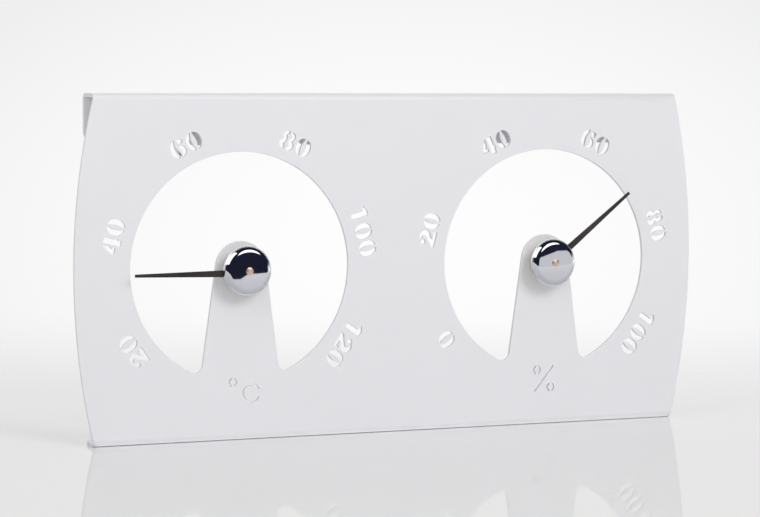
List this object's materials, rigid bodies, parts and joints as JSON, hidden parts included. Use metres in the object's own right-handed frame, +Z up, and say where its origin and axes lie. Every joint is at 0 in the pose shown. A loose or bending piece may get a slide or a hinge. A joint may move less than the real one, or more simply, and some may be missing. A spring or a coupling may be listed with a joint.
{
  "type": "thermo-hygrometer",
  "caption": "Wall or shelf thermo-hygrometer: bent sheet panel with open dials, cut-out numerals and tongues that carry domed caps with turning needles.",
  "frame": {"origin": "middle of the length and depth, at the underside of the bottom flange", "axes": "+X to the right as the dials are read, -Y towards the viewer, +Z up"},
  "size_m": [0.2564, 0.0232, 0.13],
  "materials": {
    "panel_paint": "fine white powder coat",
    "cap_chrome": "polished",
    "needle_black": "satin black",
    "pin_copper": "polished, copper-coloured",
    "movement_brass": "turned",
    "zinc_steel": "bright zinc",
    "bimetal": "rolled strip",
    "humidity_strip": "rolled strip with a coated outer face",
    "thrust_plastic": "natural"
  },
  "bodies": {
    "panel_body": {"panel": "panel_paint", "thermometer_post": "movement_brass", "thermometer_washer": "zinc_steel", "thermometer_nut": "zinc_steel", "thermometer_hub": "movement_brass", "thermometer_coil": "bimetal", "thermometer_thrust_washer": "thrust_plastic", "thermometer_pivot_pin": "pin_copper", "hygrometer_post": "movement_brass", "hygrometer_washer": "zinc_steel", "hygrometer_nut": "zinc_steel", "hygrometer_hub": "movement_brass", "hygrometer_coil": "humidity_strip", "hygrometer_thrust_washer": "thrust_plastic", "hygrometer_pivot_pin": "pin_copper"},
    "thermometer_pointer": {"thermometer_bush": "movement_brass", "thermometer_carrier": "movement_brass", "thermometer_needle": "needle_black", "thermometer_rivets": "movement_brass", "thermometer_anchor": "movement_brass", "thermometer_cap": "cap_chrome"},
    "hygrometer_pointer": {"hygrometer_bush": "movement_brass", "hygrometer_carrier": "movement_brass", "hygrometer_needle": "needle_black", "hygrometer_rivets": "movement_brass", "hygrometer_anchor": "movement_brass", "hygrometer_cap": "cap_chrome"}
  },
  "joints": [
    {"name": "thermometer_turn", "type": "hinge", "parent": "panel_body", "child": "thermometer_pointer", "pos_m": [-0.0635, -0.00187, 0.0644], "axis": [0, 1, 0], "range_deg": [-39, 219]},
    {"name": "hygrometer_turn", "type": "hinge", "parent": "panel_body", "child": "hygrometer_pointer", "pos_m": [0.0635, -0.00187, 0.0644], "axis": [0, 1, 0], "range_deg": [-180.3, 77.7]}
  ]
}
